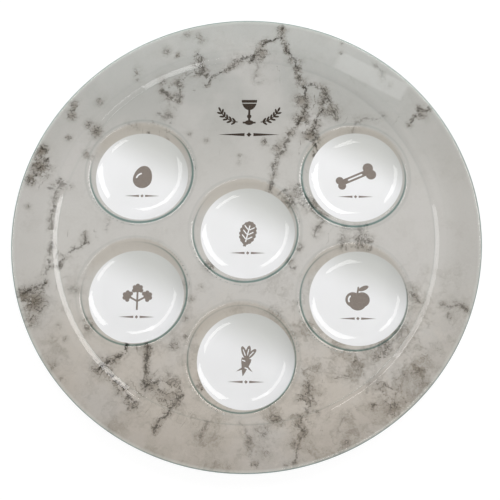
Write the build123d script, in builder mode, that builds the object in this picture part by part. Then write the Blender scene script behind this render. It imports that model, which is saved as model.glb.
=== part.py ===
"""Seder plate: a slumped clear glass dish with six wells, printed from behind.

Millimetres, +Z up. The origin is on the surface the plate stands on, under the middle of
the plate, and +Y points to the emblem at the head of the plate.
"""

import os
from math import atan2, cos, degrees, hypot, pi, radians, sin, tan

from build123d import *

os.makedirs("parts", exist_ok=True)

# ---------------------------------------------------------------- driving sizes
plate_diameter = 400.0       # over the rounded rim
glass_thickness = 4.0        # of the glass, all over
print_thickness = 0.4        # of the marble print and of each white disc
coat_thickness = 0.4         # of the sealing coat under the marble print
ink_thickness = 0.2          # of the symbols and the emblem, sunk in what is under them
bare_rim = 1.0               # glass left unprinted inside the rim's rounding

field_diameter = 318.0       # of the flat middle, out to the foot of the step
step_height = 2.4            # rise from the middle to the flange
step_angle = 28.0            # slope of the step, in degrees
step_foot_radius = 7.0       # hollow bend at the foot of the step
step_brow_radius = 8.0       # round bend where the step turns into the flange
flange_rise = 2.6            # from the step to the rim

well_mouth_diameter = 96.0   # where the rounding of a well's edge starts
well_depth = 9.6             # from the middle of the plate down to a well's floor
well_wall_angle = 45.0       # slope of a well's wall, in degrees
well_floor_radius = 22.0     # hollow bend round the floor
well_brow_radius = 5.0       # round bend at the mouth
well_collar = 2.0            # flat ring round each mouth, made together with the well
well_ring_radius = 107.0     # from the plate's middle to the five outer wells
middle_well_offset = 2.6     # of the middle well, towards the emblem

disc_diameter = 83.5         # white disc printed under each well's floor
disc_ring_radius = 108.3     # from the design's middle to the five outer discs
print_drift_x = 2.0          # how far the whole print lies off the glass's middle
print_drift_y = -0.5
print_turn = 0.9             # turn of the whole print against the glass, in degrees

symbol_height = 24.0         # of the six symbols, about
symbol_lift = 1.5            # from a disc's middle up to its symbol's
rule_width = 31.0            # ornamental rule under each symbol
rule_height = 3.0
rule_drop = 16.5             # from a disc's middle down to its rule

emblem_distance = 108.5      # from the plate's middle to the emblem
emblem_width = 54.0

# ---------------------------------------------------------------- derived sizes
floor_top = print_thickness + glass_thickness
field_top = floor_top + well_depth
plate_radius = plate_diameter / 2
mouth_radius = well_mouth_diameter / 2
collar_radius = mouth_radius + well_collar
disc_radius = disc_diameter / 2
tall = 4 * field_top         # of the cylinders that only cut

field_radius = field_diameter / 2
step_foot = field_radius + step_foot_radius * tan(radians(step_angle) / 2)
step_brow = step_foot + step_height / tan(radians(step_angle))
flange_tilt = atan2(flange_rise, plate_radius - step_brow)

# The top surface ends where the rim's rounding, half the glass thick, starts.
glass_end = plate_radius - glass_thickness / 2 * (1 + sin(flange_tilt))
print_end = glass_end - bare_rim
print_lower = glass_thickness + print_thickness
coat_lower = print_lower + coat_thickness

outer_wells = {"haroseth": -30, "shank_bone": 30, "egg": 150, "parsley": 210, "horseradish": 270}
well_centres = {
    name: (well_ring_radius * cos(radians(turn)), well_ring_radius * sin(radians(turn)))
    for name, turn in outer_wells.items()
}
well_centres["bitter_herbs"] = (0.0, middle_well_offset)


disc_spread = disc_ring_radius / well_ring_radius
disc_designs = {name: (x * disc_spread, y * disc_spread) for name, (x, y) in well_centres.items()}


def printed(x, y):
    """Where a place of the print's design lands on the glass, with its turn."""
    return Location((print_drift_x, print_drift_y, 0), (0, 0, print_turn)) * Location((x, y, 0))


# ---------------------------------------------------------------- the glass's top surface
# A route is the top surface's section from an axis outwards: its corners, and the radius
# that rounds each inner corner.
def plate_route(end_radius):
    """The whole plate without its wells, cut off at end_radius."""
    end_height = field_top + step_height + (end_radius - step_brow) * tan(flange_tilt)
    corners = [
        (0, field_top),
        (step_foot, field_top),
        (step_brow, field_top + step_height),
        (end_radius, end_height),
    ]
    return corners, fitting_radii(corners, [step_foot_radius, step_brow_radius])


def well_route():
    """One well, from its axis out to the edge of its collar."""
    brow = mouth_radius - well_brow_radius * tan(radians(well_wall_angle) / 2)
    floor_edge = brow - well_depth / tan(radians(well_wall_angle))
    corners = [(0, floor_top), (floor_edge, floor_top), (brow, field_top), (collar_radius, field_top)]
    return corners, fitting_radii(corners, [well_floor_radius, well_brow_radius])


def heading(start, end):
    return atan2(end[1] - start[1], end[0] - start[0])


def fitting_radii(corners, radii):
    """The two bend radii, made smaller alike where the slope between them is too short."""
    slope = hypot(corners[2][0] - corners[1][0], corners[2][1] - corners[1][1])
    turns = [
        abs(heading(b, c) - heading(a, b)) for a, b, c in zip(corners, corners[1:], corners[2:])
    ]
    needed = sum(radius * tan(turn / 2) for radius, turn in zip(radii, turns))
    share = min(1.0, 0.96 * slope / needed)
    return [radius * share for radius in radii]


def sunk(route, depth):
    """The parallel route at a depth under the top surface."""
    corners, radii = route
    headings = [heading(a, b) for a, b in zip(corners, corners[1:])]
    before = [headings[0]] + headings
    after = headings + [headings[-1]]
    moved = []
    for (r, z), a, b in zip(corners, before, after):
        reach = depth / (1 + cos(a - b))
        moved.append((r + reach * (sin(a) + sin(b)), z - reach * (cos(a) + cos(b))))
    bends = [
        radius + depth if b > a else radius - depth
        for radius, a, b in zip(radii, headings, headings[1:])
    ]
    return moved, bends


def layer_section(route, axis_place, upper, lower, rounded_end=False):
    """The section between two depths, on the XZ plane through an axis."""
    plane = Plane(origin=(*axis_place, 0), x_dir=(1, 0, 0), z_dir=(0, -1, 0))
    with BuildSketch(plane) as section:
        with BuildLine():
            top = FilletPolyline(*sunk(route, upper)[0], radius=sunk(route, upper)[1])
            bottom = FilletPolyline(*sunk(route, lower)[0], radius=sunk(route, lower)[1])
            Line(top @ 0, bottom @ 0)
            if rounded_end:
                outermost = (top @ 1 + bottom @ 1) / 2 + (top % 1) * (lower - upper) / 2
                ThreePointArc(top @ 1, outermost, bottom @ 1)
            else:
                Line(top @ 1, bottom @ 1)
        make_face()
    return section.sketch


def plate_layer(upper, lower, end_radius, rounded_end=False):
    """A layer of the whole plate that dips into every well."""
    with BuildPart() as layer:
        revolve(
            layer_section(plate_route(end_radius), (0, 0), upper, lower, rounded_end),
            axis=Axis.Z,
        )
        with Locations(*well_centres.values()):
            Cylinder(collar_radius, tall, mode=Mode.SUBTRACT)
        for centre in well_centres.values():
            revolve(
                layer_section(well_route(), centre, upper, lower),
                axis=Axis((*centre, 0), (0, 0, 1)),
            )
    return layer.part


# ---------------------------------------------------------------- symbols and emblem
# All art is drawn in units of its own, art_grid of them to a symbol's height and
# emblem_grid of them to the emblem's width, and then brought to its printed size.
art_grid = 20.0
emblem_grid = 52.0
cut_line = 1.2


def lozenge_rule(width, height):
    """Ornamental rule: a lozenge between two bars that taper outwards."""
    gap = height * 0.9
    with BuildSketch() as rule:
        with BuildLine():
            Polyline((gap, height / 3), (width / 2, 0), (gap, -height / 3), close=True)
        make_face()
        mirror(about=Plane.YZ)
        Rectangle(height / 2**0.5, height / 2**0.5, rotation=45)
    return rule.sketch


def beyond(start, turn, reach):
    """The point at a distance from start, in the direction of turn."""
    return (start[0] + reach * cos(turn), start[1] + reach * sin(turn))


def egg_symbol():
    half_width, top_height, middle = 7.0, 10.5, -2.0
    with BuildSketch() as symbol:
        with BuildLine():
            EllipticalCenterArc((0, middle), half_width, top_height, 0, arc_size=180)
            CenterArc((0, middle), half_width, 180, 180)
        make_face()
        shine = CenterArc((0, middle), half_width - 2.6, 115, 60, mode=Mode.PRIVATE)
        SlotArc(shine, cut_line, mode=Mode.SUBTRACT)
    return symbol.sketch.rotate(Axis.Z, -12)


def shank_bone_symbol():
    length, shaft, small_knob, big_knob = 23.0, 4.2, 2.9, 3.8
    with BuildSketch() as symbol:
        Rectangle(length, shaft)
        with Locations((-length / 2, small_knob * 0.75), (-length / 2, -small_knob * 0.75)):
            Circle(small_knob)
        with Locations((length / 2, big_knob * 0.72), (length / 2, -big_knob * 0.72)):
            Circle(big_knob)
        SlotOverall(length * 0.5, cut_line, mode=Mode.SUBTRACT)
    return symbol.sketch.rotate(Axis.Z, 24)


def bitter_herbs_symbol():
    """A broad leaf with a frilled edge."""
    half_width, half_height, frill, frills = 4.7, 7.4, 1.6, 16
    with BuildSketch() as symbol:
        Ellipse(half_width, half_height)
        for step in range(frills):
            turn = 2 * pi * (step + 0.5) / frills
            with Locations((half_width * cos(turn), half_height * sin(turn))):
                Circle(frill)
        with Locations((0, -half_height - 1)):
            Rectangle(2.2, 4)
        with Locations((0, -0.6)):
            Rectangle(cut_line * 0.8, 2 * half_height - 2, mode=Mode.SUBTRACT)
        for height in (-3.4, 0.2, 3.8):
            for side in (-1, 1):
                with Locations((side * 2.2, height)):
                    SlotOverall(4.2, cut_line * 0.7, rotation=side * 40, mode=Mode.SUBTRACT)
    return symbol.sketch.rotate(Axis.Z, -14)


def parsley_symbol():
    fork, stalk_foot, stalk = (0, -3.6), -10.0, 1.3
    heart, lobe, lobe_reach = 2.3, 1.5, 2.7
    with BuildSketch() as symbol:
        with Locations((0, (fork[1] + stalk_foot) / 2)):
            Rectangle(stalk, fork[1] - stalk_foot)
        for turn, reach in ((0.5, 7.6), (pi / 2, 8.6), (pi - 0.5, 7.6)):
            tip = beyond(fork, turn, reach)
            with Locations(beyond(fork, turn, reach / 2)):
                SlotOverall(reach + stalk, stalk, rotation=degrees(turn))
            with Locations(tip):
                Circle(heart)
            for side in (-1.9, -0.95, 0, 0.95, 1.9):
                with Locations(beyond(tip, turn + side, lobe_reach)):
                    Circle(lobe)
    return symbol.sketch


def haroseth_symbol():
    """An apple with its stalk and a leaf."""
    with BuildSketch() as symbol:
        with Locations((-3.2, -1.4), (3.2, -1.4)):
            Circle(5.4)
        with Locations((0, -3.4)):
            Ellipse(6.2, 5.8)
        with Locations((0.4, 5.2)):
            SlotOverall(5.6, 1.3, rotation=80)
        with Locations((4.4, 6.8)):
            Ellipse(3.8, 1.6, rotation=24)
        shine = CenterArc((-3.2, -1.4), 3.1, 130, 75, mode=Mode.PRIVATE)
        SlotArc(shine, cut_line, mode=Mode.SUBTRACT)
    return symbol.sketch


def horseradish_symbol():
    """A tapered root with two rootlets, under a tuft of leaves."""
    crown, crown_height, tip_height = 3.3, 1.5, -11.5
    leaf_length, leaf_width = 9.5, 3.4
    with BuildSketch() as symbol:
        with BuildLine():
            side = Spline(
                (crown, crown_height),
                (crown * 0.75, -4),
                (0, tip_height),
                tangents=[(0.3, -1), (-0.4, -1)],
            )
            mirror(side, about=Plane.YZ)
            Line((-crown, crown_height), (crown, crown_height))
        make_face()
        with BuildLine():
            Polyline((1, -2.5), (6.4, -7.2), (1, -5.0), close=True)
        make_face()
        with BuildLine():
            Polyline((-1, -4.5), (-5.4, -9.2), (-1, -6.8), close=True)
        make_face()
        for turn in (58, 90, 122):
            middle = beyond((0, crown_height - 0.5), radians(turn), leaf_length / 2)
            with Locations(middle):
                Ellipse(leaf_length / 2, leaf_width / 2, rotation=turn)
                SlotOverall(leaf_length * 0.5, cut_line * 0.6, rotation=turn, mode=Mode.SUBTRACT)
        with Locations((-crown * 0.5, -0.6), (crown * 0.4, -5.4)):
            SlotOverall(crown * 0.8, cut_line * 0.7, rotation=-8, mode=Mode.SUBTRACT)
    return symbol.sketch.rotate(Axis.Z, -12)


symbols = {
    "egg": egg_symbol,
    "shank_bone": shank_bone_symbol,
    "bitter_herbs": bitter_herbs_symbol,
    "parsley": parsley_symbol,
    "haroseth": haroseth_symbol,
    "horseradish": horseradish_symbol,
}


def emblem_art():
    """A footed cup between two leafy sprigs, over a rule."""
    bowl_half_width, bowl_depth, stem_width, knob = 6.6, 9.5, 1.8, 1.9
    foot_width, foot_thickness, cup_top, foot_height = 11.0, 1.6, 16.0, -5.0
    sprig_middle, sprig_radius, sprig_start, sprig_sweep = (9.0, 12.5), 17.0, -86, 60
    leaf_length, leaf_width, leaf_pairs = 4.6, 1.8, 5
    rule_middle, rule_height = -16.0, 4.2
    with BuildSketch() as art:
        with BuildLine():
            EllipticalCenterArc((0, cup_top), bowl_half_width, bowl_depth, 180, arc_size=180)
            Line((-bowl_half_width, cup_top), (bowl_half_width, cup_top))
        make_face()
        bowl_foot = cup_top - bowl_depth
        with Locations((0, (bowl_foot + foot_height) / 2)):
            Rectangle(stem_width, bowl_foot - foot_height + 1)
            Circle(knob)
        with Locations((0, foot_height)):
            Rectangle(foot_width, foot_thickness)
            Ellipse(foot_width * 0.34, foot_thickness * 1.4)
        with Locations((0, cup_top - 3)):
            Rectangle(2 * bowl_half_width, cut_line * 0.7, mode=Mode.SUBTRACT)
        stem = CenterArc(sprig_middle, sprig_radius, sprig_start, sprig_sweep, mode=Mode.PRIVATE)
        SlotArc(stem, 0.9)
        for pair in range(leaf_pairs):
            turn = radians(sprig_start + sprig_sweep * (pair + 0.4) / leaf_pairs)
            base = beyond(sprig_middle, turn, sprig_radius)
            for side in (-1, 1):
                leaf_turn = turn + pi / 2 + side * 0.75
                with Locations(beyond(base, leaf_turn, leaf_length / 2)):
                    Ellipse(leaf_length / 2, leaf_width / 2, rotation=degrees(leaf_turn))
        end_turn = radians(sprig_start + sprig_sweep)
        end = beyond(sprig_middle, end_turn, sprig_radius)
        with Locations(beyond(end, end_turn + pi / 2, leaf_length / 2)):
            Ellipse(leaf_length / 2, leaf_width / 2, rotation=degrees(end_turn) + 90)
        mirror(about=Plane.YZ)
        with Locations((0, rule_middle)):
            add(lozenge_rule(emblem_grid, rule_height))
    return art.sketch


# ---------------------------------------------------------------- pieces
def finish_piece(part, name):
    part.label = name
    export_step(part, f"parts/{name}.step")


glass_plate = plate_layer(0, glass_thickness, glass_end, rounded_end=True)
finish_piece(glass_plate, "glass_plate")

# The emblem's ink, and the print that it is sunk in.
with BuildPart() as emblem:
    with BuildSketch(Plane.XY.offset(field_top - glass_thickness)):
        with Locations(printed(0, emblem_distance)):
            add(emblem_art().scale(emblem_width / emblem_grid))
    extrude(amount=-ink_thickness)
finish_piece(emblem.part, "emblem")

disc_places = [printed(*design) for design in disc_designs.values()]
with BuildPart() as marble_print:
    add(plate_layer(glass_thickness, print_lower, print_end))
    with Locations(*disc_places):
        Cylinder(disc_radius, tall, mode=Mode.SUBTRACT)
    add(emblem.part, mode=Mode.SUBTRACT)
finish_piece(marble_print.part, "marble_print")

with BuildPart() as backing_coat:
    add(plate_layer(print_lower, coat_lower, print_end))
    with Locations(*disc_places):
        Cylinder(disc_radius, tall, mode=Mode.SUBTRACT)
finish_piece(backing_coat.part, "backing_coat")

for well, centre in well_centres.items():
    x, y = disc_designs[well]
    with BuildPart() as symbol:
        with BuildSketch(Plane.XY.offset(print_thickness)):
            with Locations(printed(x, y + symbol_lift)):
                add(symbols[well]().scale(symbol_height / art_grid))
            with Locations(printed(x, y - rule_drop)):
                add(lozenge_rule(rule_width, rule_height))
        extrude(amount=-ink_thickness)
    finish_piece(symbol.part, f"symbol_{well}")

    with BuildPart() as white_disc:
        revolve(
            layer_section(well_route(), centre, glass_thickness, print_lower),
            axis=Axis((*centre, 0), (0, 0, 1)),
        )
        with Locations(printed(x, y)):
            Cylinder(disc_radius, tall, mode=Mode.INTERSECT)
        add(symbol.part, mode=Mode.SUBTRACT)
    finish_piece(white_disc.part, f"white_disc_{well}")
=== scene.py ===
"""Seder plate: clear slumped glass over a marble print, six white discs and their symbols."""

from math import cos, pi, radians, sin

import bpy
import numpy as np
from mathutils import Matrix, Vector


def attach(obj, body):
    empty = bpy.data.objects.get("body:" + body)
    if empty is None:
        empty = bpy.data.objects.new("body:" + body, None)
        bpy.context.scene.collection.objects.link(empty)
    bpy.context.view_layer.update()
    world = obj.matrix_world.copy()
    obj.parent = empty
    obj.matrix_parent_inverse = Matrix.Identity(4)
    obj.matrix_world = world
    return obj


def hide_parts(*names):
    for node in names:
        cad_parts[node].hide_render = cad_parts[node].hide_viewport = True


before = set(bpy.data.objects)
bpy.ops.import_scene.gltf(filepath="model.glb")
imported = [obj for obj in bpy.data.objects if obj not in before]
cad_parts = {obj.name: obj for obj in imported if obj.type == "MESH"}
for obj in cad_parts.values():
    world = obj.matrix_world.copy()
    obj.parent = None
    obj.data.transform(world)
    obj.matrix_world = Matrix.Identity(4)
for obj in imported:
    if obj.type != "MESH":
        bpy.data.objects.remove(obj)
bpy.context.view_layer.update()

mm = 0.001


# ---------------------------------------------------------------- node helpers
def add(tree, kind, inputs=(), **settings):
    """A node with its settings made and its inputs set or linked."""
    node = tree.nodes.new(kind)
    for name, value in settings.items():
        setattr(node, name, value)
    for key, value in dict(inputs).items():
        if isinstance(value, bpy.types.NodeSocket):
            tree.links.new(value, node.inputs[key])
        else:
            node.inputs[key].default_value = value
    return node


def calc(tree, operation, *values, clamp=False):
    inputs = dict(enumerate(values))
    return add(tree, "ShaderNodeMath", inputs, operation=operation, use_clamp=clamp).outputs[0]


def off_by(tree, value, place):
    """How far a value is from a place, on either side."""
    return calc(tree, "ABSOLUTE", calc(tree, "SUBTRACT", value, place))


def vector(tree, x, y, z=0.0):
    return add(tree, "ShaderNodeCombineXYZ", {0: x, 1: y, 2: z}).outputs[0]


def parted(tree, whole):
    """The x, y and z of a vector."""
    return add(tree, "ShaderNodeSeparateXYZ", {0: whole}).outputs


def move(tree, operation, *values):
    node = add(tree, "ShaderNodeVectorMath", dict(enumerate(values)), operation=operation)
    return node.outputs[0]


def measure(tree, operation, *values):
    """One number from vectors: a length, a distance or a dot product."""
    node = add(tree, "ShaderNodeVectorMath", dict(enumerate(values)), operation=operation)
    return node.outputs["Value"]


def ramp(tree, value, low, high, start=0.0, end=1.0):
    """A smooth change from start to end while the value goes from low to high."""
    return add(
        tree,
        "ShaderNodeMapRange",
        {"Value": value, "From Min": low, "From Max": high, "To Min": start, "To Max": end},
        interpolation_type="SMOOTHSTEP",
    ).outputs[0]


def noise(tree, where, per_mm, detail, roughness=0.5, kind="Fac"):
    """Cloudy noise; its kind is Fac for one number or Color for three."""
    inputs = {"Vector": where, "Scale": per_mm, "Detail": detail, "Roughness": roughness}
    return add(tree, "ShaderNodeTexNoise", inputs).outputs[kind]


def mixed(tree, share, first, second):
    return add(tree, "ShaderNodeMix", {0: share, 6: first, 7: second}, data_type="RGBA").outputs[2]


def tone(red, green, blue):
    """A colour as it is seen on a screen, 0 to 255, in the shader's own numbers."""
    steps = [v / 255 for v in (red, green, blue)]
    return (*(v / 12.92 if v <= 0.04045 else ((v + 0.055) / 1.055) ** 2.4 for v in steps), 1.0)


def in_mm(tree):
    """Object coordinates in millimetres, seen from above."""
    place = add(tree, "ShaderNodeTexCoord").outputs["Object"]
    return move(tree, "MULTIPLY", place, (1000.0, 1000.0, 0.0))


# ---------------------------------------------------------------- the glass
# The print is fused to the glass, so the glass reaches most of the way through it and no film
# of air is left between them, also in the tight bends that the print's cells cut short.
glass_sizes = {
    "Plate Radius": 200 * mm,
    "Glass Depth": 4.36 * mm,
    "Field Radius": 160 * mm,
    "Field Height": 14 * mm,
    "Step Height": 2.4 * mm,
    "Step Slope": radians(28),
    "Step Foot Radius": 3 * mm,
    "Step Brow Radius": 5 * mm,
    "Flange Rise": 2.6 * mm,
    "Well Mouth Radius": 48 * mm,
    "Well Collar": 2 * mm,
    "Well Depth": 9.6 * mm,
    "Wall Slope": radians(45),
    "Well Floor Radius": 22 * mm,
    "Well Brow Radius": 5 * mm,
    "Well Ring Radius": 107 * mm,
    "Middle Well Offset": 2.6 * mm,
}


def closed(tree, geometry, reach, material):
    """Ends a geometry tree: points within reach are merged, and all is made smooth and dressed."""
    merged = add(tree, "GeometryNodeMergeByDistance", {0: geometry, "Distance": reach})
    whole = add(tree, "GeometryNodeRealizeInstances", {0: merged.outputs[0]})
    smooth = add(tree, "GeometryNodeSetShadeSmooth", {0: whole.outputs[0]})
    dressed = add(tree, "GeometryNodeSetMaterial", {0: smooth.outputs[0], "Material": material})
    add(tree, "NodeGroupOutput", {0: dressed.outputs[0]})
    return tree


def placed(tree, geometry, **where):
    """A geometry with its points set to a Position or moved by an Offset."""
    return add(tree, "GeometryNodeSetPosition", {"Geometry": geometry, **where}).outputs[0]


def glass_tree(material):
    """Geometry nodes that slump a round plate with six wells from its sizes."""
    tree = bpy.data.node_groups.new("slumped_plate", "GeometryNodeTree")
    for name, size in glass_sizes.items():
        socket = tree.interface.new_socket(name, in_out="INPUT", socket_type="NodeSocketFloat")
        socket.default_value = size
    for name, count in {"Well Spokes": 160, "Plate Spokes": 384, "Bend Points": 14}.items():
        socket = tree.interface.new_socket(name, in_out="INPUT", socket_type="NodeSocketInt")
        socket.default_value = count
    tree.interface.new_socket("Geometry", in_out="OUTPUT", socket_type="NodeSocketGeometry")
    size = tree.nodes.new("NodeGroupInput").outputs
    index = add(tree, "GeometryNodeInputIndex").outputs[0]
    position = add(tree, "GeometryNodeInputPosition").outputs[0]

    def by_index(values, data_type):
        """A different value for each point of a short line."""
        switch = tree.nodes.new("GeometryNodeIndexSwitch")
        switch.data_type = data_type
        while len(switch.index_switch_items) < len(values):
            switch.index_switch_items.new()
        tree.links.new(index, switch.inputs[0])
        for place, value in enumerate(values):
            if isinstance(value, bpy.types.NodeSocket):
                tree.links.new(value, switch.inputs[place + 1])
            else:
                switch.inputs[place + 1].default_value = value
        return switch.outputs[0]

    def section(corners, radii, depth):
        """A rounded section line through (radius, height) corners, sunk by a depth."""
        line = add(tree, "GeometryNodeMeshLine", {"Count": len(corners)})
        places = by_index([vector(tree, r, z) for r, z in corners], "VECTOR")
        shaped = placed(tree, line.outputs[0], Position=places)
        curve = add(tree, "GeometryNodeMeshToCurve", {"Mesh": shaped})
        rounded = add(
            tree,
            "GeometryNodeFilletCurve",
            {
                "Curve": curve.outputs[0],
                "Count": size["Bend Points"],
                "Radius": by_index([0.0, *radii, 0.0], "FLOAT"),
            },
            mode="POLY",
        )
        along = parted(tree, add(tree, "GeometryNodeInputTangent").outputs[0])
        down = vector(
            tree,
            calc(tree, "MULTIPLY", along[1], depth),
            calc(tree, "MULTIPLY", along[0], calc(tree, "MULTIPLY", depth, -1.0)),
        )
        return placed(tree, rounded.outputs[0], Offset=down)

    def revolved(curve, spokes):
        """A section line turned once round the upright axis."""
        points = add(tree, "GeometryNodeAttributeDomainSize", {0: curve}, component="CURVE")
        columns = calc(tree, "ADD", spokes, 1)
        grid = add(
            tree,
            "GeometryNodeMeshGrid",
            {"Vertices X": points.outputs["Point Count"], "Vertices Y": columns},
        )
        ring = calc(tree, "FLOOR", calc(tree, "DIVIDE", calc(tree, "ADD", index, 0.5), columns))
        spoke = calc(tree, "SUBTRACT", index, calc(tree, "MULTIPLY", ring, columns))
        sample = add(
            tree,
            "GeometryNodeSampleIndex",
            {"Geometry": curve, "Value": position, "Index": ring},
            data_type="FLOAT_VECTOR",
        )
        place = parted(tree, sample.outputs[0])
        turn = calc(tree, "MULTIPLY", calc(tree, "DIVIDE", spoke, spokes), 2 * pi)
        spot = vector(
            tree,
            calc(tree, "MULTIPLY", place[0], calc(tree, "COSINE", turn)),
            calc(tree, "MULTIPLY", place[0], calc(tree, "SINE", turn)),
            place[1],
        )
        return placed(tree, grid.outputs[0], Position=spot)

    def joined(*parts):
        join = tree.nodes.new("GeometryNodeJoinGeometry")
        for part in reversed(parts):
            tree.links.new(part, join.inputs[0])
        return join.outputs[0]

    def moved(geometry, offset):
        inputs = {"Geometry": geometry, "Translation": offset}
        return add(tree, "GeometryNodeTransform", inputs).outputs[0]

    # Six well centres: five on a ring, the place at the head left free, and one in the middle.
    ring_turn = calc(tree, "MULTIPLY_ADD", index, pi / 3, 5 * pi / 6)
    on_ring = vector(
        tree,
        calc(tree, "MULTIPLY", size["Well Ring Radius"], calc(tree, "COSINE", ring_turn)),
        calc(tree, "MULTIPLY", size["Well Ring Radius"], calc(tree, "SINE", ring_turn)),
    )
    centres = add(
        tree,
        "GeometryNodeSwitch",
        {
            0: calc(tree, "GREATER_THAN", index, 4.5),
            "False": on_ring,
            "True": vector(tree, 0.0, size["Middle Well Offset"]),
        },
        input_type="VECTOR",
    )
    wells = add(tree, "GeometryNodePoints", {"Count": 6, "Position": centres.outputs[0]})

    def in_every_well(instance):
        inputs = {"Points": wells.outputs[0], "Instance": instance}
        stamped = add(tree, "GeometryNodeInstanceOnPoints", inputs)
        return add(tree, "GeometryNodeRealizeInstances", {0: stamped.outputs[0]}).outputs[0]

    # Corners of the two sections, as the part's source works them out.
    half_step = calc(tree, "TANGENT", calc(tree, "MULTIPLY", size["Step Slope"], 0.5))
    foot_reach = calc(tree, "MULTIPLY", size["Step Foot Radius"], half_step)
    step_foot = calc(tree, "ADD", foot_reach, size["Field Radius"])
    step_run = calc(tree, "DIVIDE", size["Step Height"], calc(tree, "TANGENT", size["Step Slope"]))
    step_brow = calc(tree, "ADD", step_foot, step_run)
    flange_width = calc(tree, "SUBTRACT", size["Plate Radius"], step_brow)
    tilt = calc(tree, "ARCTAN2", size["Flange Rise"], flange_width)
    half_depth = calc(tree, "MULTIPLY", size["Glass Depth"], 0.5)
    rounding = calc(tree, "MULTIPLY", half_depth, calc(tree, "ADD", calc(tree, "SINE", tilt), 1.0))
    glass_end = calc(tree, "SUBTRACT", size["Plate Radius"], rounding)
    flange_height = calc(tree, "ADD", size["Field Height"], size["Step Height"])
    glass_run = calc(tree, "SUBTRACT", glass_end, step_brow)
    end_rise = calc(tree, "MULTIPLY", glass_run, calc(tree, "TANGENT", tilt))
    end_height = calc(tree, "ADD", flange_height, end_rise)
    field_edge = calc(tree, "SUBTRACT", size["Field Radius"], size["Well Collar"])
    plate_corners = [
        (field_edge, size["Field Height"]),
        (step_foot, size["Field Height"]),
        (step_brow, flange_height),
        (glass_end, end_height),
    ]
    half_wall = calc(tree, "TANGENT", calc(tree, "MULTIPLY", size["Wall Slope"], 0.5))
    brow_reach = calc(tree, "MULTIPLY", size["Well Brow Radius"], half_wall)
    well_brow = calc(tree, "SUBTRACT", size["Well Mouth Radius"], brow_reach)
    wall_run = calc(tree, "DIVIDE", size["Well Depth"], calc(tree, "TANGENT", size["Wall Slope"]))
    floor_height = calc(tree, "SUBTRACT", size["Field Height"], size["Well Depth"])
    collar = calc(tree, "ADD", size["Well Mouth Radius"], size["Well Collar"])
    well_corners = [
        (0.0, floor_height),
        (calc(tree, "SUBTRACT", well_brow, wall_run), floor_height),
        (well_brow, size["Field Height"]),
        (collar, size["Field Height"]),
    ]
    # Where the wall is too short for both bends, they are made smaller alike.
    wall = calc(tree, "DIVIDE", size["Well Depth"], calc(tree, "SINE", size["Wall Slope"]))
    usable_wall = calc(tree, "MULTIPLY", wall, 0.96)
    both = calc(tree, "ADD", size["Well Floor Radius"], size["Well Brow Radius"])
    wanted = calc(tree, "MULTIPLY", both, half_wall)
    share = calc(tree, "MINIMUM", calc(tree, "DIVIDE", usable_wall, wanted), 1.0)
    well_radii = [
        calc(tree, "MULTIPLY", size["Well Floor Radius"], share),
        calc(tree, "MULTIPLY", size["Well Brow Radius"], share),
    ]
    plate_radii = [size["Step Foot Radius"], size["Step Brow Radius"]]

    def circle(spokes, radius):
        inputs = {"Resolution": spokes, "Radius": radius}
        return add(tree, "GeometryNodeCurvePrimitiveCircle", inputs).outputs[0]

    rings = in_every_well(circle(size["Well Spokes"], collar))
    border = circle(size["Plate Spokes"], field_edge)
    filled = add(tree, "GeometryNodeFillCurve", {"Curve": joined(border, rings)}, mode="TRIANGLES")
    field = filled.outputs[0]

    def skin(depth):
        """The whole surface at a depth under the top."""
        lift = calc(tree, "SUBTRACT", size["Field Height"], depth)
        return joined(
            moved(field, vector(tree, 0.0, 0.0, lift)),
            revolved(section(plate_corners, plate_radii, depth), size["Plate Spokes"]),
            in_every_well(revolved(section(well_corners, well_radii, depth), size["Well Spokes"])),
        )

    arc = add(
        tree,
        "GeometryNodeCurveArc",
        {
            "Resolution": 15,
            "Radius": half_depth,
            "Start Angle": calc(tree, "ADD", tilt, pi / 2),
            "Sweep Angle": -pi,
        },
        mode="RADIUS",
    )
    sink = calc(tree, "MULTIPLY", half_depth, calc(tree, "COSINE", tilt))
    middle = vector(
        tree,
        calc(tree, "MULTIPLY_ADD", half_depth, calc(tree, "SINE", tilt), glass_end),
        calc(tree, "SUBTRACT", end_height, sink),
    )
    rim = revolved(moved(arc.outputs["Curve"], middle), size["Plate Spokes"])
    under = add(tree, "GeometryNodeFlipFaces", {"Mesh": skin(size["Glass Depth"])}).outputs[0]
    return closed(tree, joined(skin(0.0), rim, under), 0.01 * mm, material)


def grown(name, tree, sizes):
    """The plain mesh that a geometry tree makes from its sizes."""
    seedling = bpy.data.objects.new(name + "_seedling", bpy.data.meshes.new(name + "_seedling"))
    bpy.context.scene.collection.objects.link(seedling)
    modifier = seedling.modifiers.new(name, "NODES")
    modifier.node_group = tree
    for item in tree.interface.items_tree:
        if item.in_out == "INPUT" and item.name in sizes:
            modifier[item.identifier] = sizes[item.name]
    bpy.context.view_layer.update()
    evaluated = seedling.evaluated_get(bpy.context.evaluated_depsgraph_get())
    mesh = bpy.data.meshes.new_from_object(evaluated)
    seedling.modifiers.remove(modifier)
    bpy.data.objects.remove(seedling)
    mesh.name = name
    piece = bpy.data.objects.new(name, mesh)
    bpy.context.scene.collection.objects.link(piece)
    return piece


# ---------------------------------------------------------------- the marble print
# It is drawn a hair under the white discs and passes beneath them, so their rims stay crisp.
print_depth = 4.06 * mm
sheet_sizes = {
    "Sheet Radius": 199.6 * mm,
    "Sheet Depth": 0.27 * mm,
    "Cells": 210,
}


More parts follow.
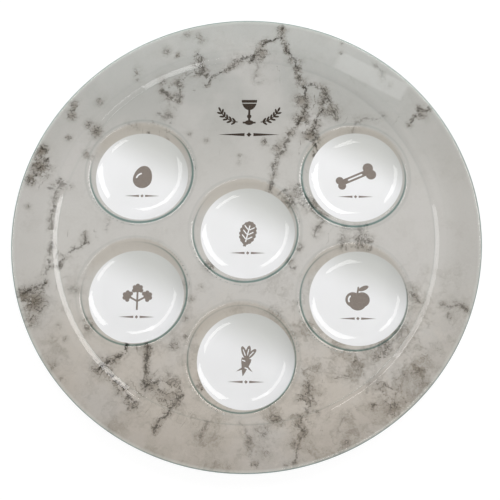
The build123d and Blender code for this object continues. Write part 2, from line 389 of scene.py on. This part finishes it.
def sheet_tree(material):
    """Geometry nodes that press an even sheet against the underside of a plate."""
    tree = bpy.data.node_groups.new("laid_sheet", "GeometryNodeTree")
    kinds = {"Plate": "Object", "Sheet Radius": "Float", "Sheet Depth": "Float", "Cells": "Int"}
    for name, kind in kinds.items():
        tree.interface.new_socket(name, in_out="INPUT", socket_type="NodeSocket" + kind)
    tree.interface.new_socket("Geometry", in_out="OUTPUT", socket_type="NodeSocketGeometry")
    size = tree.nodes.new("NodeGroupInput").outputs
    plate = add(tree, "GeometryNodeObjectInfo", {0: size["Plate"]}, transform_space="ORIGINAL")
    side = calc(tree, "ADD", size["Cells"], 1)
    grid = add(
        tree,
        "GeometryNodeMeshGrid",
        {"Size X": 2.0, "Size Y": 2.0, "Vertices X": side, "Vertices Y": side},
    ).outputs[0]
    # The square grid is drawn out to a round one.
    spot = parted(tree, add(tree, "GeometryNodeInputPosition").outputs[0])

    def rounded(along, across):
        squared = calc(tree, "MULTIPLY", across, across)
        pull = calc(tree, "SQRT", calc(tree, "MULTIPLY_ADD", squared, -0.5, 1.0))
        return calc(tree, "MULTIPLY", calc(tree, "MULTIPLY", along, pull), size["Sheet Radius"])

    # The rays rise to a plate drawn in metres for its millimetres, so that they don't miss its
    # small faces.
    to_large, to_true = (1 / mm,) * 3, (mm,) * 3
    start_height, ray_length = -100 * mm, 1000.0
    below = vector(tree, rounded(spot[0], spot[1]), rounded(spot[1], spot[0]), start_height)
    inputs = {"Geometry": plate.outputs["Geometry"], "Scale": to_large}
    enlarged = add(tree, "GeometryNodeTransform", inputs)
    rise = add(
        tree,
        "GeometryNodeRaycast",
        {
            "Target Geometry": enlarged.outputs[0],
            "Source Position": move(tree, "MULTIPLY", below, to_large),
            "Ray Direction": (0, 0, 1),
            "Ray Length": ray_length,
        },
    )
    pressed = move(tree, "MULTIPLY", rise.outputs["Hit Position"], to_true)
    laid = placed(tree, grid, Position=pressed)
    # Drawn down, the sheet gets an underside and an edge; the first face of it stays as the top.
    downward = calc(tree, "MULTIPLY", size["Sheet Depth"], -1.0)
    inputs = {"Mesh": laid, "Offset Scale": downward, "Individual": False}
    drawn = add(tree, "GeometryNodeExtrudeMesh", inputs, mode="FACES")
    under = add(tree, "GeometryNodeFlipFaces", {"Mesh": drawn.outputs[0]}).outputs[0]
    both = add(tree, "GeometryNodeJoinGeometry").inputs[0]
    tree.links.new(under, both)
    tree.links.new(laid, both)
    return closed(tree, both.node.outputs[0], 0.001 * mm, material)


# The veins as they run over the print: how dark each is, and its course in mm from the middle.
veins = [
    (1.0, [(29, 199), (28, 190), (27, 184), (22, 183), (15, 181.5), (10, 177.5), (8, 172),
           (4, 166), (1, 163)]),
    (0.8, [(2, 166), (-7, 165.5), (-12, 163), (-15, 158), (-22, 154), (-27, 152), (-32, 148),
           (-36, 144), (-39, 139)]),
    (0.35, [(3, 164), (6, 160), (7, 155), (5, 149), (4.5, 143), (9, 142.5), (12, 145)]),
    (1.0, [(31, 179), (33, 172), (36, 169), (39, 165), (40, 161), (43, 156), (44.5, 151),
           (43, 146), (43.5, 141), (50, 137), (49, 130), (51, 124), (51, 117), (48, 112),
           (45, 108), (43, 102)]),
    (0.75, [(50, 139), (55, 140.5), (62, 138), (66, 137), (69, 133), (71, 128), (72, 122),
            (75, 116), (78, 109)]),
    (0.95, [(64, 139), (64, 133), (69, 131), (68, 126), (65, 121), (66, 115), (62, 112),
            (59, 105), (58, 98), (56, 94), (60, 90), (58, 84), (60, 79), (58, 75)]),
    (0.3, [(52, 110), (62, 112), (70, 110)]),
    (0.7, [(38, 96), (35, 92), (34, 86), (32, 80), (30, 75), (26, 71), (24, 65), (22, 60),
           (24, 53), (22, 47), (21, 40)]),
    (0.35, [(90, 93), (91, 98), (94, 103), (99, 107), (106, 109), (112, 108), (120, 112)]),
    (0.8, [(159, 121), (158, 116), (154, 114), (150, 117), (147, 110), (145, 106), (141, 102)]),
    (0.4, [(112, 160), (116, 154), (119, 148), (121, 142), (120, 137), (124, 139)]),
    (0.7, [(46, 44), (50, 35), (56, 27), (64, 20), (70, 17)]),
    (0.6, [(20, 41), (26, 38), (33, 40), (46, 41)]),
    (0.6, [(36, 25), (40, 29), (46, 28), (50, 26)]),
    (0.6, [(68, 14), (64, 11), (61, 6), (60, 2), (59, -2)]),
    (0.4, [(84, 8), (90, 7), (99, 8), (104, 9)]),
    (0.5, [(98, 6), (100, 3), (97, -1), (96, -5)]),
    (0.5, [(83, 2), (82, -8), (86, -10)]),
    (0.5, [(104, 0), (106, -5), (108, -10)]),
    (0.6, [(38, -17), (37, -22), (38, -27), (43, -30)]),
    (0.5, [(165, -59), (171, -60), (176, -59), (182, -60), (186, -63)]),
    (0.45, [(168, -60), (171, -64), (170, -70)]),
    (0.35, [(135, -75), (130, -85), (120, -95), (112, -95)]),
    (0.5, [(78, -122), (82, -118), (87, -120)]),
    (0.6, [(56, -128), (55, -134), (57, -140), (50, -145), (56, -149), (62, -150)]),
    (0.6, [(48, -160), (54, -165), (49, -172), (47, -180), (46, -186), (43, -190), (40, -192)]),
    (0.3, [(88, -149), (84, -154), (81, -160), (79, -164)]),
    (0.35, [(110, -120), (106, -126), (102, -133), (100, -139)]),
    (0.25, [(132, -115), (136, -122)]),
    (0.25, [(146, -116), (148, -122)]),
    (0.3, [(0, -160), (4, -165), (8, -172), (10, -180), (9, -186)]),
    (0.6, [(-163, 46), (-164, 40), (-166, 33), (-167, 25), (-166, 18), (-168, 10), (-167, 0),
           (-166, -15), (-167, -22), (-166, -30), (-168, -38), (-169, -46), (-170, -52)]),
    (1.0, [(-168, -47), (-175, -52), (-182, -55), (-189, -61)]),
    (0.8, [(-138, -4), (-137, -12), (-142, -16), (-148, -19), (-155, -23), (-158, -32)]),
    (0.3, [(-118, 10), (-120, 2)]),
    (0.95, [(-184, 76), (-178, 72), (-174, 66), (-179, 60), (-182, 53), (-185, 46), (-188, 41)]),
    (0.5, [(-172, 36), (-165, 38), (-160, 42), (-155, 40)]),
    (0.75, [(-50, 153), (-51, 160), (-48, 168), (-44, 163), (-46, 157), (-42, 154), (-38, 150),
            (-41, 147), (-48, 150)]),
    (0.75, [(-55, 149), (-60, 145), (-64, 141), (-69, 139), (-62, 137)]),
    (0.75, [(-80, 133), (-76, 131), (-72, 128), (-67, 124), (-63, 122), (-62, 128)]),
    (0.5, [(-82, 110), (-75, 107), (-72, 112), (-69, 107), (-69, 102)]),
    (0.3, [(-107, 100), (-100, 99)]),
    (0.7, [(-89, 95), (-89, 89)]),
    (0.5, [(-71, 88), (-74, 85)]),
    (1.0, [(-97, -97), (-96, -103), (-99, -108), (-107, -111), (-113, -114), (-118, -120)]),
    (1.0, [(-110, -123), (-100, -131), (-95, -138), (-90, -142), (-86, -147)]),
    (0.85, [(-78, -99), (-78, -108), (-78, -117), (-80, -126), (-78, -132), (-74, -130),
            (-68, -128)]),
    (0.8, [(-48, -138), (-53, -145), (-58, -149), (-58, -154), (-63, -158), (-67, -163),
           (-68, -168)]),
    (0.4, [(-60, -122), (-55, -125), (-52, -130)]),
    (0.4, [(-27, -161), (-28, -167), (-30, -170), (-34, -171)]),
    (0.35, [(-148, -52), (-142, -53)]),
    (0.35, [(27, -66), (31, -69), (32, -73)]),
]
# Cloudy patches: middle in mm, how far they reach and how dark they are.
smudges = [
    (28, 193, 5, 0.8), (10, 170, 9, 0.7), (-12, 163, 6, 0.5), (-30, 150, 6, 0.4),
    (40, 163, 7, 0.5), (47, 140, 7, 0.5), (47, 125, 8, 0.75), (47, 107, 8, 0.8),
    (67, 134, 7, 0.6), (72, 117, 9, 0.6), (66, 122, 7, 0.6), (55, 92, 8, 0.9),
    (60, 101, 6, 0.5), (27, 79, 7, 0.6), (37, 94, 5, 0.7), (15.5, 85, 5, 0.6),
    (97, 106, 6, 0.3), (152, 113, 7, 0.5), (83, 180, 3, 0.6), (81, 170, 3, 0.5),
    (58, 27, 8, 0.8), (66, 18, 6, 0.6), (38, 33, 11, 0.55), (62, 5, 6, 0.3), (85, -5, 7, 0.5),
    (97, -4, 7, 0.6), (106, -6, 7, 0.6), (90, 8, 7, 0.3), (46, -11, 4, 0.6), (39, -24, 4, 0.5),
    (143, -52, 7, 0.5), (132, -80, 8, 0.4), (115, -95, 12, 0.5), (55, -138, 10, 0.7),
    (30, -156, 5, 0.6), (48, -175, 7, 0.5), (118, -130, 13, 0.5), (123, -142, 12, 0.5),
    (108, -143, 4, 0.6), (88, -173, 6, 0.4), (20, -168, 8, 0.3), (22, -182, 8, 0.3),
    (13, -192, 4, 0.6), (-176, -64, 11, 1.0), (-184, -60, 8, 1.0), (-177, -80, 8, 0.5),
    (-181, 55, 9, 0.9), (-158, 84, 3, 0.6), (-168, 37, 6, 0.5), (-135, 92, 6, 0.8),
    (-142, 97, 5, 0.5), (-141, 70, 5, 0.7), (-156, 112, 7, 0.5), (-133, 119, 5, 0.4),
    (-100, 143, 3, 0.8), (-102, 150, 4, 0.4), (-76, 169, 5, 0.4), (-66, 166, 3, 0.8),
    (-46, 183, 6, 0.5), (-58, 187, 5, 0.4), (-46, 157, 6, 0.4), (-66, 140, 6, 0.4),
    (-79, 141, 5, 0.5), (-70, 126, 8, 0.5), (-73, 108, 6, 0.4), (-7, 71, 2.5, 0.5),
    (-7, 65, 2.5, 0.4), (-37, 85, 3, 0.4), (-52, 90, 3, 0.4), (-114, -117, 10, 0.65),
    (-105, -111, 6, 0.5), (-88, -146, 7, 0.7), (-97, -135, 7, 0.6), (-75, -130, 8, 0.7),
    (-78, -112, 5, 0.4), (-58, -135, 14, 0.6), (-60, -155, 7, 0.5), (-30, -168, 4, 0.4),
    (-56, -98, 6, 0.5), (-37, -47, 3, 0.6), (-43, -58, 2.5, 0.5), (-48, -75, 3, 0.5),
    (-47, -90, 3, 0.5), (-52, -44, 5, 0.5), (-131, -82, 6, 0.5), (-150, -70, 3, 0.4),
    (-153, -84, 3, 0.4), (-147, -95, 3, 0.4), (-155, -119, 4, 0.4), (-146, -129, 4, 0.4),
    (-30, -28, 6, 0.6), (-35, -134, 7, 0.6), (-138, -10, 5, 0.4), (-148, -20, 5, 0.4),
    (30, -69, 4, 0.4), (160, 119, 4, 0.4), (-101, 147, 4, 0.9), (-156, 114, 6, 0.7),
    (-157, 105, 5, 0.7), (-134, 120, 3, 0.6), (-182, 70, 7, 0.95), (-184, 59, 6, 0.95),
    (-188, 45, 6, 0.9), (-160, 85, 2, 0.8), (-141, 69, 3, 0.7), (-58, 190, 2, 0.6),
    (-189, 19, 3, 0.5),
]


def lay_marble(sheet):
    """Keeps, at each point of a sheet, the way to the nearest vein and how cloudy the print is."""
    points = np.empty(3 * len(sheet.vertices))
    sheet.vertices.foreach_get("co", points)
    points = points.reshape(-1, 3)[:, :2] / mm
    nearest = np.full(len(points), 1e9)
    way = np.zeros((len(points), 3))
    for dark, course in veins:
        for start, end in zip(course, course[1:]):
            start, along = np.array(start), np.subtract(end, start)
            share = np.clip((points - start) @ along / (along @ along), 0, 1)
            offset = start + share[:, None] * along - points
            far = np.hypot(*offset.T)
            closer = far < nearest
            nearest[closer] = far[closer]
            way[closer, :2] = offset[closer]
            way[closer, 2] = dark
    cloud = np.zeros(len(points))
    for x, y, reach, dark in smudges:
        far_squared = (points[:, 0] - x) ** 2 + (points[:, 1] - y) ** 2
        cloud = np.maximum(cloud, dark * np.exp(-far_squared / reach**2))
    to_vein = sheet.attributes.new("to_vein", "FLOAT_VECTOR", "POINT")
    to_vein.data.foreach_set("vector", way.ravel())
    sheet.attributes.new("cloud", "FLOAT", "POINT").data.foreach_set("value", cloud)


# ---------------------------------------------------------------- finishes
def new_material(name):
    material = bpy.data.materials.new(name)
    material.use_nodes = True
    tree = material.node_tree
    tree.nodes.clear()
    return material, tree


def from_well(tree, where):
    """The way in mm, seen from above, to the middle of the nearest well."""
    ring = glass_sizes["Well Ring Radius"] / mm
    near = measure(tree, "DISTANCE", where, (0.0, glass_sizes["Middle Well Offset"] / mm, 0.0))
    for turn in (-90, -30, 30, 150, 210):
        spot = (ring * cos(radians(turn)), ring * sin(radians(turn)), 0.0)
        near = calc(tree, "MINIMUM", near, measure(tree, "DISTANCE", where, spot))
    return near


def green_share(tree, where):
    """How green the glass looks: along the wells' walls and the rim, and in its bends."""
    near = from_well(tree, where)
    middle = measure(tree, "LENGTH", where)
    facing = add(tree, "ShaderNodeLayerWeight", {"Blend": 0.5}).outputs["Facing"]
    past_foot = ramp(tree, near, 43.2, 45.0)
    within_mouth = ramp(tree, near, 48.2, 49.8, 1.0, 0.0)
    wall = calc(tree, "MULTIPLY", past_foot, within_mouth)
    share = calc(tree, "MULTIPLY", ramp(tree, facing, 0.09, 0.22), wall)
    edge = calc(tree, "MULTIPLY", ramp(tree, facing, 0.24, 0.42), ramp(tree, middle, 197.6, 198.6))
    share = calc(tree, "MAXIMUM", share, edge)
    share = calc(tree, "MAXIMUM", ramp(tree, middle, 198.8, 199.5, 0.0, 0.95), share)
    turned = ramp(tree, facing, 0.03, 0.2, 0.5, 2.4)
    bends = ((near, 48.6, 1.5, 0.28), (middle, 161.0, 1.4, 0.22), (middle, 171.5, 1.6, 0.07))
    for value, place, width, strength in bends:
        off = off_by(tree, value, place)
        bend = calc(tree, "MULTIPLY", ramp(tree, off, 0.2, width, strength, 0.0), turned)
        share = calc(tree, "MAXIMUM", bend, share)
    return share


def clear_glass():
    """Soda glass: nearly clear, and bottle green where one looks along a steep wall or the rim."""
    material, tree = new_material("clear_glass")
    where = in_mm(tree)
    edge = green_share(tree, where)
    smears = noise(tree, where, 0.02, 4.0, 0.6)
    ripple = noise(tree, where, 0.035, 1.0)
    bump = add(tree, "ShaderNodeBump", {"Strength": 0.03, "Distance": 0.4 * mm, "Height": ripple})
    glass = add(
        tree,
        "ShaderNodeBsdfPrincipled",
        {
            "Base Color": mixed(tree, edge, (0.975, 0.98, 0.975, 1), (0.10, 0.23, 0.215, 1)),
            "Roughness": ramp(tree, smears, 0.45, 0.75, 0.015, 0.05),
            "IOR": 1.5,
            "Transmission Weight": 1.0,
            "Normal": bump.outputs[0],
        },
    )
    path = add(tree, "ShaderNodeLightPath")
    open_way = add(tree, "ShaderNodeBsdfTransparent", {0: (0.98, 0.98, 0.98, 1)})
    # Light on its way to the print and to the floor passes straight through.
    surface = glass.outputs[0]
    for ray in ("Is Diffuse Ray", "Is Shadow Ray"):
        inputs = {0: path.outputs[ray], 1: surface, 2: open_way.outputs[0]}
        surface = add(tree, "ShaderNodeMixShader", inputs).outputs[0]
    add(tree, "ShaderNodeOutputMaterial", {"Surface": surface})
    return material


def printed_material(name, colour, rough=0.55, height=None):
    """A print or coat, coloured by nodes, which has no gloss of its own under the glass."""
    material, tree = new_material(name)
    inputs = {"Base Color": colour(tree), "Roughness": rough, "Specular IOR Level": 0.0}
    if height:
        strength, hollow = height
        relief = {"Strength": strength, "Distance": 0.2 * mm, "Height": hollow(tree)}
        inputs["Normal"] = add(tree, "ShaderNodeBump", relief).outputs[0]
    body = add(tree, "ShaderNodeBsdfPrincipled", inputs)
    add(tree, "ShaderNodeOutputMaterial", {"Surface": body.outputs[0]})
    return material


def marble_ground(tree, where, sway):
    """The stone without its veins, with painted light and shade on the flange and the wells' far
    walls, and how hazy it is.
    """
    x, y, _ = parted(tree, where)
    from_top = ramp(tree, y, 170.0, -150.0)
    ground = mixed(tree, from_top, tone(179, 179, 175), tone(201, 193, 183))
    middle = ramp(tree, calc(tree, "ABSOLUTE", y), 20.0, 125.0, 0.7, 0.0)
    ground = mixed(tree, middle, ground, tone(211, 209, 205))
    warm = ramp(tree, noise(tree, where, 0.011, 4.0, 0.55), 0.42, 0.62)
    ground = mixed(tree, calc(tree, "MULTIPLY", warm, 0.6), ground, tone(204, 201, 197))
    # Painted light and shade: the flange is painted lighter at the head and darker at the foot and
    # the sides.
    flange = ramp(tree, measure(tree, "LENGTH", where), 160.0, 185.0)
    end_light_and_shade = ramp(tree, calc(tree, "ABSOLUTE", y), 60.0, 190.0)
    end_light_and_shade = calc(tree, "MULTIPLY", calc(tree, "MULTIPLY", flange, end_light_and_shade), 0.33)
    end_light_and_shade_tone = mixed(tree, from_top, tone(206, 208, 204), tone(158, 149, 139))
    ground = mixed(tree, end_light_and_shade, ground, end_light_and_shade_tone)
    side_shade = calc(tree, "MULTIPLY", flange, ramp(tree, calc(tree, "ABSOLUTE", x), 110.0, 190.0))
    side_shade = calc(tree, "MULTIPLY", side_shade, ramp(tree, x, -100.0, 100.0, 0.16, 0.34))
    ground = mixed(tree, side_shade, ground, tone(160, 157, 151))
    # Curdled haze and pale spots lie mostly over the lower half.
    to_right = ramp(tree, x, -80.0, 60.0, 0.4, 0.9)
    low_half = calc(tree, "MULTIPLY_ADD", ramp(tree, y, 0.0, -100.0), to_right, 0.12)
    swayed = move(tree, "MULTIPLY_ADD", sway, (22.0, 22.0, 0.0), where)
    curds = noise(tree, swayed, 0.036, 8.0, 0.74)
    haze = calc(tree, "MULTIPLY", ramp(tree, curds, 0.45, 0.78), low_half)
    ground = mixed(tree, haze, ground, tone(138, 130, 117))
    pale = calc(tree, "MULTIPLY", ramp(tree, curds, 0.34, 0.46, 0.5, 0.0), low_half)
    ground = mixed(tree, pale, ground, tone(207, 200, 191))
    # Painted shade: the far wall of each well, which faces the front, is painted a darker beige.
    lean = parted(tree, add(tree, "ShaderNodeTexCoord").outputs["Normal"])[1]
    in_well = ramp(tree, from_well(tree, where), 47.0, 50.0, 0.4, 0.0)
    far_wall_shade = calc(tree, "MULTIPLY", in_well, ramp(tree, lean, -0.1, -0.45))
    return mixed(tree, far_wall_shade, ground, tone(186, 174, 156)), haze


def vein_inks(tree, where, sway, grain, haze):
    """How brown the clouds are along the veins, and how dark the threads in them."""
    kept = add(tree, "ShaderNodeAttribute", attribute_name="to_vein").outputs["Vector"]
    dark = parted(tree, kept)[2]
    bent = move(tree, "MULTIPLY", kept, (1.0, 1.0, 0.0))
    shake = noise(tree, where, 0.7, 2.0, 0.6, "Color")
    for crooked, reach in ((sway, 7.0), (shake, 3.0)):
        either_way = move(tree, "SUBTRACT", crooked, (0.5, 0.5, 0.5))
        bent = move(tree, "MULTIPLY_ADD", either_way, (reach, reach, 0.0), bent)
    off = measure(tree, "LENGTH", bent)
    thread = ramp(tree, off, 0.35, 1.6, 1.0, 0.0)
    broken = ramp(tree, noise(tree, where, 0.17, 4.0, 0.65), 0.36, 0.54)
    core = calc(tree, "MULTIPLY", calc(tree, "MULTIPLY", thread, broken), dark)
    halo = calc(tree, "MULTIPLY", ramp(tree, off, 1.0, 6.0, 1.0, 0.0), dark)
    patch = add(tree, "ShaderNodeAttribute", attribute_name="cloud").outputs["Fac"]
    brown = calc(tree, "MAXIMUM", calc(tree, "MULTIPLY", halo, 0.6), patch)
    thicker = calc(tree, "MULTIPLY_ADD", patch, 0.08, noise(tree, where, 0.085, 6.0, 0.7))
    brown = calc(tree, "MULTIPLY", brown, ramp(tree, thicker, 0.445, 0.545, 0.14, 1.0))
    brown = calc(tree, "MULTIPLY_ADD", haze, 0.5, brown, clamp=True)
    # Hair-fine dark threads run through the clouds, with a few dark grains between them.
    ridge = off_by(tree, noise(tree, where, 0.14, 4.0, 0.62), 0.5)
    hair = ramp(tree, ridge, 0.0, 0.035, 0.8, 0.0)
    hairs = calc(tree, "MULTIPLY", hair, ramp(tree, brown, 0.12, 0.45))
    specks = calc(tree, "MULTIPLY", ramp(tree, grain, 0.52, 0.62, 0.0, 0.6), brown)
    fine = calc(tree, "MAXIMUM", hairs, specks)
    return brown, calc(tree, "MAXIMUM", core, fine, clamp=True)


def marble_border(tree, where, ground):
    """The marble with what runs along the rim: a painted reflection on the flange and painted
    light and shade at the edge.
    """
    # Upper right, the border has one long pale field: a painted reflection of a lamp on the
    # flange.
    along_border = measure(tree, "DOT_PRODUCT", where, (0.88, -0.475, 0.0))
    outward = measure(tree, "DOT_PRODUCT", where, (0.475, 0.88, 0.0))
    reflection_length = ramp(tree, off_by(tree, along_border, 24.7), 31.0, 36.0, 1.0, 0.0)
    reflection_width = ramp(tree, off_by(tree, outward, 181.5), 7.0, 9.5, 0.28, 0.0)
    field = calc(tree, "MULTIPLY", reflection_length, reflection_width)
    ground = mixed(tree, field, ground, tone(222, 223, 220))
    # Painted light and shade of the rounded glass rim: a narrow paler ring runs inside the edge,
    # which is painted light at the head and dark at the foot.
    radius = measure(tree, "LENGTH", where)
    ground = mixed(tree, ramp(tree, radius, 196.4, 198.2, 0.0, 0.3), ground, tone(215, 218, 213))
    x, y, _ = parted(tree, where)
    rim_light_share = ramp(tree, calc(tree, "MULTIPLY_ADD", x, -0.35, y), -60.0, 60.0)
    edge = mixed(tree, rim_light_share, tone(62, 60, 54), tone(205, 210, 204))
    return mixed(tree, ramp(tree, radius, 198.6, 199.2, 0.0, 0.9), ground, edge)


def marble_colour(tree):
    """Warm grey marble with crooked brown veins, brown clouds round them and a faint grain; it
    also carries painted light and shade on the flange, the wells' far walls and the rim, and a
    painted reflection.
    """
    where = in_mm(tree)
    grain = noise(tree, where, 0.45, 4.0, 0.7)
    sway = noise(tree, where, 0.16, 3.0, 0.6, "Color")
    ground, haze = marble_ground(tree, where, sway)
    brown, ink = vein_inks(tree, where, sway, grain, haze)
    ground = mixed(tree, calc(tree, "MULTIPLY", brown, 0.86), ground, tone(116, 106, 91))
    ground = mixed(tree, calc(tree, "MULTIPLY", ink, 0.92), ground, tone(50, 44, 36))
    ground = mixed(tree, ramp(tree, grain, 0.45, 0.75, 0.0, 0.05), ground, tone(120, 112, 104))
    return marble_border(tree, where, ground)


def white_with_painted_shade(middle):
    """Enamel white with painted shade: it greys softly towards the upper right of a disc."""

    def colour(tree):
        where = in_mm(tree)
        uneven = noise(tree, where, 0.03, 3.0, 0.5)
        dots = noise(tree, where, 1.6, 1.0, 0.5)
        from_middle = move(tree, "SUBTRACT", where, middle)
        painted_disc_shade = measure(tree, "DOT_PRODUCT", from_middle, (0.0115, 0.0235, 0.0))
        bright, duller = (0.935, 0.935, 0.945, 1), (0.915, 0.915, 0.92, 1)
        ground = mixed(tree, ramp(tree, uneven, 0.35, 0.7), bright, duller)
        # Painted shade: the white greys towards the upper right of the disc.
        ground = mixed(tree, ramp(tree, painted_disc_shade, 0.0, 0.95), ground, (0.63, 0.635, 0.61, 1))
        return mixed(tree, ramp(tree, dots, 0.6, 0.8, 0.0, 0.5), ground, (0.86, 0.86, 0.86, 1))

    return colour


def ink_colour(full, thin):
    """Ink that lies a little thinner here and there."""

    def colour(tree):
        streaks = noise(tree, in_mm(tree), 0.8, 3.0, 0.6)
        return mixed(tree, ramp(tree, streaks, 0.35, 0.72), full, thin)

    return colour


def coat_colour(tree):
    """A sprayed backing coat, off-white, with faint clouds and fine spray dots."""
    where = in_mm(tree)
    clouds = noise(tree, where, 0.02, 5.0, 0.6)
    spray = noise(tree, where, 1.1, 2.0, 0.7)
    ground = mixed(tree, ramp(tree, clouds, 0.35, 0.7), tone(214, 212, 206), tone(202, 199, 192))
    return mixed(tree, ramp(tree, spray, 0.56, 0.72, 0.0, 0.35), ground, tone(182, 178, 170))


def fine_grain(tree):
    return noise(tree, in_mm(tree), 1.1, 3.0, 0.7)


slumped = glass_tree(clear_glass())
glass_plate = grown("glass_plate_body", slumped, glass_sizes)
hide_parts("glass_plate")
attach(glass_plate, "root")

marble = printed_material("marble_print_look", marble_colour)
bed = grown("print_bed", slumped, {**glass_sizes, "Glass Depth": print_depth})
marble_print = grown("marble_print_sheet", sheet_tree(marble), {**sheet_sizes, "Plate": bed})
bpy.data.objects.remove(bed)
lay_marble(marble_print.data)
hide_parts("marble_print")
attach(marble_print, "root")

dark_ink = ink_colour(tone(52, 43, 36), tone(72, 62, 53))
grey_ink = ink_colour(tone(134, 124, 116), tone(150, 141, 134))
looks = {
    "backing_coat": printed_material("backing_coat_look", coat_colour, 0.5, (0.4, fine_grain)),
    "emblem": printed_material("emblem_look", dark_ink, 0.6),
    "symbol": printed_material("symbol_look", grey_ink, 0.6),
}
for name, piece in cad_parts.items():
    for start, look in looks.items():
        if name.startswith(start):
            piece.data.materials.clear()
            piece.data.materials.append(look)
    if name.startswith("white_disc"):
        # Corners 0 and 6 of a bounding box are opposite ones.
        middle = (Vector(piece.bound_box[0]) + Vector(piece.bound_box[6])) / 2 / mm
        look = printed_material(name + "_look", white_with_painted_shade((middle.x, middle.y, 0.0)), 0.5)
        piece.data.materials.clear()
        piece.data.materials.append(look)


# ---------------------------------------------------------------- stage
def floor_material():
    material, tree = new_material("floor")
    path = add(tree, "ShaderNodeLightPath")
    seen = calc(
        tree,
        "MAXIMUM",
        path.outputs["Is Camera Ray"],
        calc(tree, "MAXIMUM", path.outputs["Is Glossy Ray"], path.outputs["Is Transmission Ray"]),
    )
    lit = add(tree, "ShaderNodeBsdfDiffuse", {"Color": (0.82, 0.82, 0.82, 1)})
    bright = add(tree, "ShaderNodeEmission", {"Color": (1, 1, 1, 1), "Strength": 1.12})
    # One fifth stays a plain lit floor, which keeps the plate's shadow.
    white_share = calc(tree, "MULTIPLY", seen, 0.8)
    inputs = {0: white_share, 1: lit.outputs[0], 2: bright.outputs[0]}
    blend = add(tree, "ShaderNodeMixShader", inputs)
    add(tree, "ShaderNodeOutputMaterial", {"Surface": blend.outputs[0]})
    return material


half_floor = 6.0
floor_gap = 0.5 * mm
around = ((-1, -1), (1, -1), (1, 1), (-1, 1))
floor_corners = [(x * half_floor, y * half_floor, 0) for x, y in around]
floor_mesh = bpy.data.meshes.new("floor")
floor_mesh.from_pydata(floor_corners, [], [(0, 1, 2, 3)])
floor_mesh.materials.append(floor_material())
floor = bpy.data.objects.new("floor", floor_mesh)
floor.location.z = -floor_gap
bpy.context.scene.collection.objects.link(floor)

world = bpy.data.worlds.new("studio")
bpy.context.scene.world = world
world.use_nodes = True
sky = world.node_tree
toward = parted(sky, add(sky, "ShaderNodeTexCoord").outputs["Generated"])
# The room is a little brighter towards the front, which fills the far walls of the wells.
glow = ramp(sky, toward[1], 0.35, -0.85, 0.27, 0.80)
seen = add(sky, "ShaderNodeLightPath").outputs["Is Camera Ray"]
sky.links.new(calc(sky, "MAXIMUM", glow, seen), sky.nodes["Background"].inputs[1])
sky.nodes["Background"].inputs[0].default_value = (1, 1, 1, 1)

lamp_distance = 1.3


def lit_from(name, direction, width, height, power):
    """A soft rectangular lamp that stands in a direction from the plate and faces it."""
    light = bpy.data.lights.new(name, "AREA")
    light.shape = "RECTANGLE"
    light.size, light.size_y = width, height
    light.energy = power
    lamp = bpy.data.objects.new(name, light)
    lamp.location = lamp_distance * Vector(direction).normalized()
    lamp.rotation_euler = (-lamp.location).to_track_quat("-Z", "Y").to_euler()
    bpy.context.scene.collection.objects.link(lamp)


lit_from("key_softbox", (0.455, 0.484, 0.748), 0.9, 0.46, 6.4)
lit_from("left_strip", (-0.592, 0.385, 0.708), 0.80, 0.30, 2.3)
lit_from("front_panel", (0.243, -0.187, 0.952), 0.50, 0.27, 1.5)
lit_from("back_strip", (-0.330, 0.580, 0.745), 0.36, 0.26, 1.5)

# ---------------------------------------------------------------- camera
azimuth, elevation, roll = radians(6.82), radians(74.69), radians(-5.39)
distance = 777.36 * mm
aim = Vector((4.09 * mm, -11.16 * mm, 0))
focal_length_px, picture_width_px, sensor_width_mm = 897.76, 500, 36
out = Vector((cos(elevation) * sin(azimuth), -cos(elevation) * cos(azimuth), sin(elevation)))
right = (-out).cross(Vector((0, 0, 1))).normalized()
up = right.cross(-out)
rolled_right = cos(roll) * right + sin(roll) * up
rolled_up = -sin(roll) * right + cos(roll) * up
camera_data = bpy.data.cameras.new("camera")
camera_data.sensor_width = sensor_width_mm
camera_data.lens = sensor_width_mm * focal_length_px / picture_width_px
camera_data.clip_start = 0.01
camera = bpy.data.objects.new("camera", camera_data)
turned = Matrix((rolled_right, rolled_up, out)).transposed().to_4x4()
camera.matrix_world = Matrix.Translation(aim + distance * out) @ turned
bpy.context.scene.collection.objects.link(camera)
bpy.context.scene.camera = camera

view = bpy.context.scene.view_settings
view.view_transform = "Standard"
